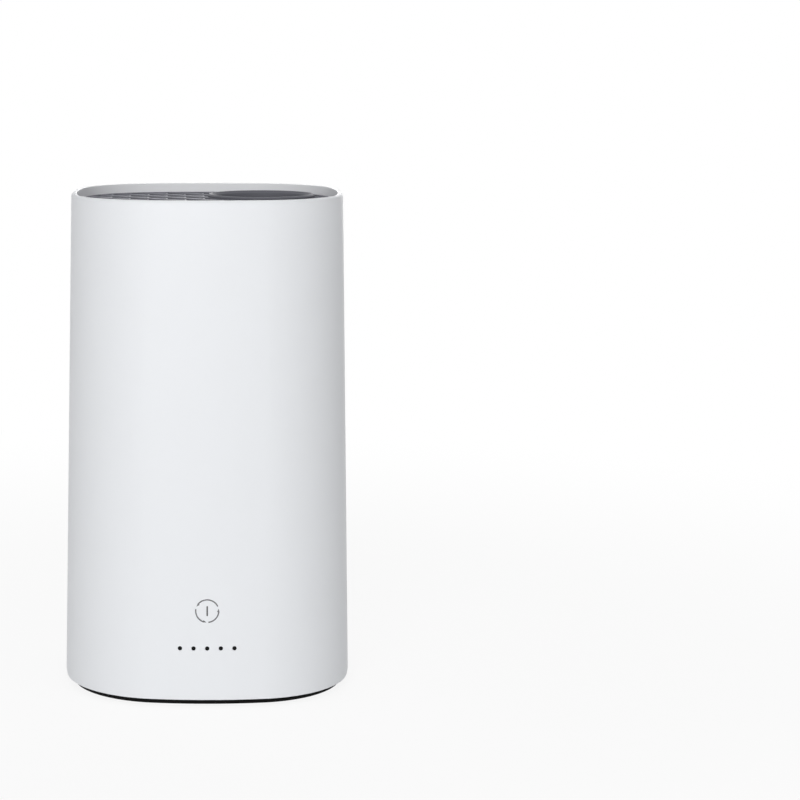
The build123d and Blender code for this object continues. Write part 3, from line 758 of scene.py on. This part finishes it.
class STERILISER_OT_touch_key(bpy.types.Operator):
    """Printed sign of the touch key: three arrows that chase round a bar"""

    bl_idname = "steriliser.touch_key"
    bl_label = "Touch key"

    def execute(self, context):
        settings = context.scene.steriliser_key
        shell = bmesh.new()
        shell.from_mesh(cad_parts["outer_shell"].data)
        wall = BVHTree.FromBMesh(shell)
        shell.free()
        ring = bmesh.new()
        for start, end in RING_ARROWS:
            self.arrow(ring, settings, radians(start), radians(end))
        self.print_on(wall, ring, settings)
        grey = printed_ink("Pad_printed_grey_ink", tuple(settings.ring_colour))
        new_piece("Key_ring_print", ring, grey, "base")
        bar = bmesh.new()
        self.bar(bar, settings)
        self.print_on(wall, bar, settings)
        dark = printed_ink("Pad_printed_dark_ink", tuple(settings.bar_colour))
        new_piece("Key_bar_print", bar, dark, "base")
        # Carbon-loaded silicone of the sensor behind the wall.
        paint(moulded_rubber("Carbon_black_sensor_rubber", linear("#151516")), "touch_pad")
        return {"FINISHED"}

    def arrow(self, cells, settings, start, end):
        """One arc of the ring, drawn flat about the origin, with its arrowhead at the end."""
        neck = end - settings.arrow_length / settings.radius
        half = settings.stroke / 2
        ray = Vector((cos(start), 0, sin(start)))
        rim = [cells.verts.new(ray * (settings.radius + side * half)) for side in (-1, 1)]
        stroke = cells.edges.new(rim)
        bmesh.ops.spin(
            cells,
            geom=rim + [stroke],
            cent=(0, 0, 0),
            axis=(0, -1, 0),
            angle=neck - start,
            steps=settings.steps,
            use_merge=False,
            use_normal_flip=False,
            use_duplicate=False,
        )
        # More of the head lies inside the ring's stroke than outside, in shares of the head's width.
        inner, outer, nose = -0.65, 0.35, 0.05
        outward = Vector((cos(neck), 0, sin(neck)))
        tip = Vector((cos(end), 0, sin(end))) * (settings.radius + nose * settings.arrow_width)
        corners = [outward * (settings.radius + reach * settings.arrow_width) for reach in (inner, outer)]
        head = cells.faces.new([cells.verts.new(p) for p in (corners[0], corners[1], tip)])
        bmesh.ops.triangulate(cells, faces=[head])

    def bar(self, cells, settings):
        """A flat upright bar with round ends, drawn about the origin."""
        bmesh.ops.create_grid(
            cells, x_segments=1, y_segments=6, size=0.5, matrix=Matrix.Rotation(radians(90), 4, "X")
        )
        bmesh.ops.scale(cells, vec=(settings.bar_width, 1, settings.bar_length), verts=cells.verts)
        near_end = settings.bar_length / 2 - 0.01 * MM
        corners = [v for v in cells.verts if abs(v.co.z) > near_end]
        # The two corners of an end are rounded off by just under half the width, so that they don't meet.
        corner_share = 0.499
        bmesh.ops.bevel(
            cells,
            geom=corners,
            offset=corner_share * settings.bar_width,
            offset_type="OFFSET",
            affect="VERTICES",
            segments=6,
            profile=0.5,
            material=-1,
        )

    def print_on(self, wall, cells, settings):
        """Lay a flat drawing on the shell's front and give it the ink's thickness."""
        before_box = -0.2
        sunk = 0.02 * MM  # into the wall, so that no gap shows under the film
        for vertex in cells.verts:
            start = Vector((vertex.co.x, before_box, vertex.co.z + settings.height))
            hit = wall.ray_cast(start, Vector((0, 1, 0)))[0]
            if hit is None:
                raise RuntimeError("the sign reaches past the shell")
            vertex.co = hit + Vector((0, sunk, 0))
        film = bmesh.ops.extrude_face_region(cells, geom=cells.faces[:])
        raised = [v for v in film["geom"] if isinstance(v, bmesh.types.BMVert)]
        bmesh.ops.translate(cells, vec=(0, -settings.film - sunk, 0), verts=raised)
        bmesh.ops.recalc_face_normals(cells, faces=cells.faces)


class STERILISER_OT_lights(bpy.types.Operator):
    """Row of five status lights, dark when off"""

    bl_idname = "steriliser.lights"
    bl_label = "Status lights"

    def execute(self, context):
        # Smoke-tinted polycarbonate: black when unlit, as the light that enters it is soaked up.
        smoke = moulded_plastic(
            "Smoke_tinted_polycarbonate",
            linear("#020203"),
            roughness=0.3,
            grain=3.0,
            depth=0.002,
            spread=0.1,
            Specular_IOR_Level=0.15,
        )
        finish_part("light_pipes", smoke, "base")
        # The emitters' white epoxy is filled with titanium dioxide, so it is even and matt.
        white = moulded_plastic(
            "White_filled_epoxy", linear("#E6E4DA"), roughness=0.5, grain=0.5, depth=0.01
        )
        paint(white, "status_leds")
        return {"FINISHED"}


class STERILISER_OT_grille(bpy.types.Operator):
    """Lift-out grille: ring, slats, wavy fins and the cup's collar"""

    bl_idname = "steriliser.grille"
    bl_label = "Grille"

    def execute(self, context):
        settings = context.scene.steriliser_grille
        # Grey polypropylene from a finely blasted tool: satin, with light catching along every edge. Its grey
        # is painted darker than the fins' as painted shade, for the slats that are seen edge-on and in shade.
        grey = moulded_plastic(
            "Fine_grey_moulded_polypropylene",
            tuple(settings.colour),
            roughness=0.62,
            grain=0.9,
            depth=0.012,
            Specular_IOR_Level=0.2,
        )
        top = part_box("grille_ring")[1].z
        for node in ("grille_ring", "cup_collar"):
            cells = welded_copy(node)
            soften(cells, corners_at(cells, top), settings.edge_round)
            finish_part(node, grey, "grille", cells=cells)
        finish_part("grille_slats", grey, "grille")
        # The fins keep the grille's own grey and are a touch glossier; they are paler only because the ring,
        # slats and collar are painted darker as painted shade.
        pale = moulded_plastic(
            "Thin_moulded_grey_polypropylene",
            tuple(settings.fin_colour),
            roughness=0.56,
            grain=0.9,
            depth=0.01,
            Specular_IOR_Level=0.2,
        )
        for node in ("wave_fins", "long_fin"):
            cells = self.waves(node, settings.fin_bend)
            finish_part(node, pale, "grille", cells=cells)
        return {"FINISHED"}

    def waves(self, node, bend):
        """Fins whose bends are round, and not the plain bends of the CAD node."""
        cells = welded_copy(node)
        bmesh.ops.dissolve_limit(
            cells, angle_limit=radians(1), use_dissolve_boundaries=False, verts=cells.verts, edges=cells.edges
        )
        flattest, sharpest = radians(20), radians(60)
        bends = []
        for edge in cells.edges:
            rise = edge.verts[1].co - edge.verts[0].co
            upright = abs(rise.z) > 0.99 * rise.length
            if upright and len(edge.link_faces) == 2 and flattest < edge.calc_face_angle() < sharpest:
                bends.append(edge)
        soften(cells, bends, bend, segments=5)
        return cells


class STERILISER_OT_cup(bpy.types.Operator):
    """Deep chopstick cup with its funnel lip and drain slots"""

    bl_idname = "steriliser.cup"
    bl_label = "Chopstick cup"

    def execute(self, context):
        settings = context.scene.steriliser_grille
        # The core that forms the cup is polished along its draw, so it is a little glossier.
        grey = moulded_plastic(
            "Drawn_grey_polypropylene",
            tuple(settings.cup_colour),
            roughness=0.55,
            grain=1.6,
            depth=0.01,
            Specular_IOR_Level=0.2,
        )
        finish_part("chopstick_cup", grey, "cup")
        return {"FINISHED"}


class STERILISER_OT_tub(bpy.types.Operator):
    """Black drying tub with its air hood, drain and strainer"""

    bl_idname = "steriliser.tub"
    bl_label = "Drying tub"

    def execute(self, context):
        settings = context.scene.steriliser_tub
        for node in ("inner_tub", "air_hood"):
            finish_part(node, tub_plastic(settings), "base")
        finish_part("drain_spout", seal_silicone(), "base")
        # Stamped stainless steel, brushed one way before it is punched.
        steel = worked_metal(
            "Brushed_stainless_steel", linear("#B4B4B2"), roughness=0.3, marks=(12, 0.5, 12), depth=0.006
        )
        finish_part("drain_strainer", steel, "base")
        return {"FINISHED"}


class STERILISER_OT_lamp(bpy.types.Operator):
    """Ultraviolet lamp behind its quartz window in the tub's left wall"""

    bl_idname = "steriliser.lamp"
    bl_label = "Lamp"

    def execute(self, context):
        finish_part("lamp_holder", tub_plastic(context.scene.steriliser_tub), "base")
        finish_part("lamp_window", lamp_glass(), "base")
        # Aluminium board under white solder resist, screen printed: satin, with a faint ripple.
        resist = moulded_plastic(
            "White_solder_resist", linear("#E9EAE8"), roughness=0.35, grain=1.5, depth=0.004
        )
        paint(resist, "lamp_board")
        # Fired alumina of the emitters' packages: warm white, chalky and fine.
        ceramic = moulded_plastic(
            "White_fired_ceramic", linear("#E2DFD2"), roughness=0.45, grain=0.5, depth=0.01
        )
        paint(ceramic, "lamp_emitters")
        return {"FINISHED"}


class STERILISER_OT_works(bpy.types.Operator):
    """Chassis, filter, fan, heater and duct under the tub"""

    bl_idname = "steriliser.works"
    bl_label = "Chassis, fan and heater"

    def execute(self, context):
        settings = context.scene.steriliser_works
        self.chassis(settings)
        self.fan(settings)
        self.heater()
        return {"FINISHED"}

    def chassis(self, settings):
        """The chassis and the filter in its floor."""
        # Glass-filled ABS: grey and dull, with a slight bloom where the glass comes up.
        grey = moulded_plastic(
            "Glass_filled_grey_ABS",
            tuple(settings.chassis_colour),
            roughness=0.6,
            grain=1.5,
            depth=0.02,
            spread=0.06,
        )
        finish_part("chassis", grey, "base")
        paint(filter_foam(), "intake_filter")

    def fan(self, settings):
        """The fan with its bearing and shaft."""
        # Glass-filled polyester of fans: near black with a hard sheen.
        polyester = moulded_plastic(
            "Black_fan_polyester",
            tuple(settings.fan_colour),
            roughness=0.38,
            grain=1.4,
            depth=0.01,
            spread=0.1,
        )
        finish_part("fan_frame", polyester, "base")
        finish_part("fan_impeller", polyester, "fan")
        # Sintered bronze is warm and porous; the shaft is ground bright all round.
        bronze = worked_metal(
            "Sintered_bronze", linear("#A9824E"), roughness=0.5, marks=(0.5, 0.5, 0.5), depth=0.02
        )
        paint(bronze, "fan_bearing")
        ground = worked_metal(
            "Ground_steel_shaft", linear("#C4C5C6"), roughness=0.18, marks=(3, 3, 0.3), depth=0.003
        )
        finish_part("fan_shaft", ground, "fan")

    def heater(self):
        """The heater in its duct, with its cutout and seal."""
        # Heat-resistant polyester, natural ivory brown.
        ivory = moulded_plastic(
            "Heat_resistant_polyester",
            linear("#B9AE97"),
            roughness=0.5,
            grain=1.6,
            depth=0.015,
            spread=0.05,
        )
        finish_part("heater_duct", ivory, "base")
        # Rolled aluminium fins of the heater with mill lines along them.
        rolled = worked_metal(
            "Rolled_aluminium", linear("#B7B9BB"), roughness=0.35, marks=(0.6, 10, 10), depth=0.008
        )
        paint(rolled, "heater_core")
        # Nickel plate on a stamped can: a warm silver, brighter than zinc.
        nickel = worked_metal(
            "Nickel_plated_steel", linear("#B9B7B0"), roughness=0.28, marks=(4, 4, 0.8), depth=0.005
        )
        finish_part("thermal_cutout", nickel, "base")
        paint(seal_silicone(), "duct_seal")


class STERILISER_OT_electrics(bpy.types.Operator):
    """Control board with its parts, and the round power inlet"""

    bl_idname = "steriliser.electrics"
    bl_label = "Board and inlet"

    def execute(self, context):
        paint(circuit_board(), "control_board")
        # Epoxy chips and relay: fine satin black with a moulded frost.
        epoxy = moulded_plastic(
            "Black_moulded_epoxy", linear("#161617"), roughness=0.5, grain=0.5, depth=0.01, spread=0.1
        )
        paint(epoxy, "board_parts")
        # Polyamide inlet body: dark, tough and slightly waxy.
        polyamide = moulded_plastic(
            "Black_moulded_polyamide", linear("#101011"), roughness=0.42, grain=0.9, depth=0.01, spread=0.1
        )
        finish_part("power_inlet", polyamide, "base")
        return {"FINISHED"}


# ---- Panel and registration ----

SETTINGS = {
    "steriliser_stage": StageSettings,
    "steriliser_shell": ShellSettings,
    "steriliser_base": BaseSettings,
    "steriliser_key": KeySettings,
    "steriliser_grille": GrilleSettings,
    "steriliser_tub": TubSettings,
    "steriliser_works": WorksSettings,
}
OPERATORS = (
    STERILISER_OT_stage,
    STERILISER_OT_shell,
    STERILISER_OT_tray,
    STERILISER_OT_base,
    STERILISER_OT_touch_key,
    STERILISER_OT_lights,
    STERILISER_OT_grille,
    STERILISER_OT_cup,
    STERILISER_OT_tub,
    STERILISER_OT_lamp,
    STERILISER_OT_works,
    STERILISER_OT_electrics,
)


class STERILISER_PT_panel(bpy.types.Panel):
    """Lists the settings and the pieces"""

    bl_idname = "STERILISER_PT_panel"
    bl_label = "Steriliser box"
    bl_space_type = "VIEW_3D"
    bl_region_type = "UI"
    bl_category = "Steriliser"

    def draw(self, context):
        for key, group in SETTINGS.items():
            box = self.layout.box()
            box.label(text=group.__doc__.rstrip("."))
            for name in group.__annotations__:
                box.prop(getattr(context.scene, key), name)
        for operator in OPERATORS:
            self.layout.operator(operator.bl_idname)


CLASSES = (*SETTINGS.values(), *OPERATORS, STERILISER_PT_panel)


def register():
    for each in CLASSES:
        bpy.utils.register_class(each)
    for key, group in SETTINGS.items():
        setattr(bpy.types.Scene, key, PointerProperty(type=group))


def unregister():
    for key in SETTINGS:
        delattr(bpy.types.Scene, key)
    for each in reversed(CLASSES):
        bpy.utils.unregister_class(each)


def main():
    register()
    bpy.ops.steriliser.stage()
    bpy.ops.steriliser.shell()
    bpy.ops.steriliser.tray()
    bpy.ops.steriliser.base()
    bpy.ops.steriliser.touch_key()
    bpy.ops.steriliser.lights()
    bpy.ops.steriliser.grille()
    bpy.ops.steriliser.cup()
    bpy.ops.steriliser.tub()
    bpy.ops.steriliser.lamp()
    bpy.ops.steriliser.works()
    bpy.ops.steriliser.electrics()


if __name__ == "__main__":
    main()
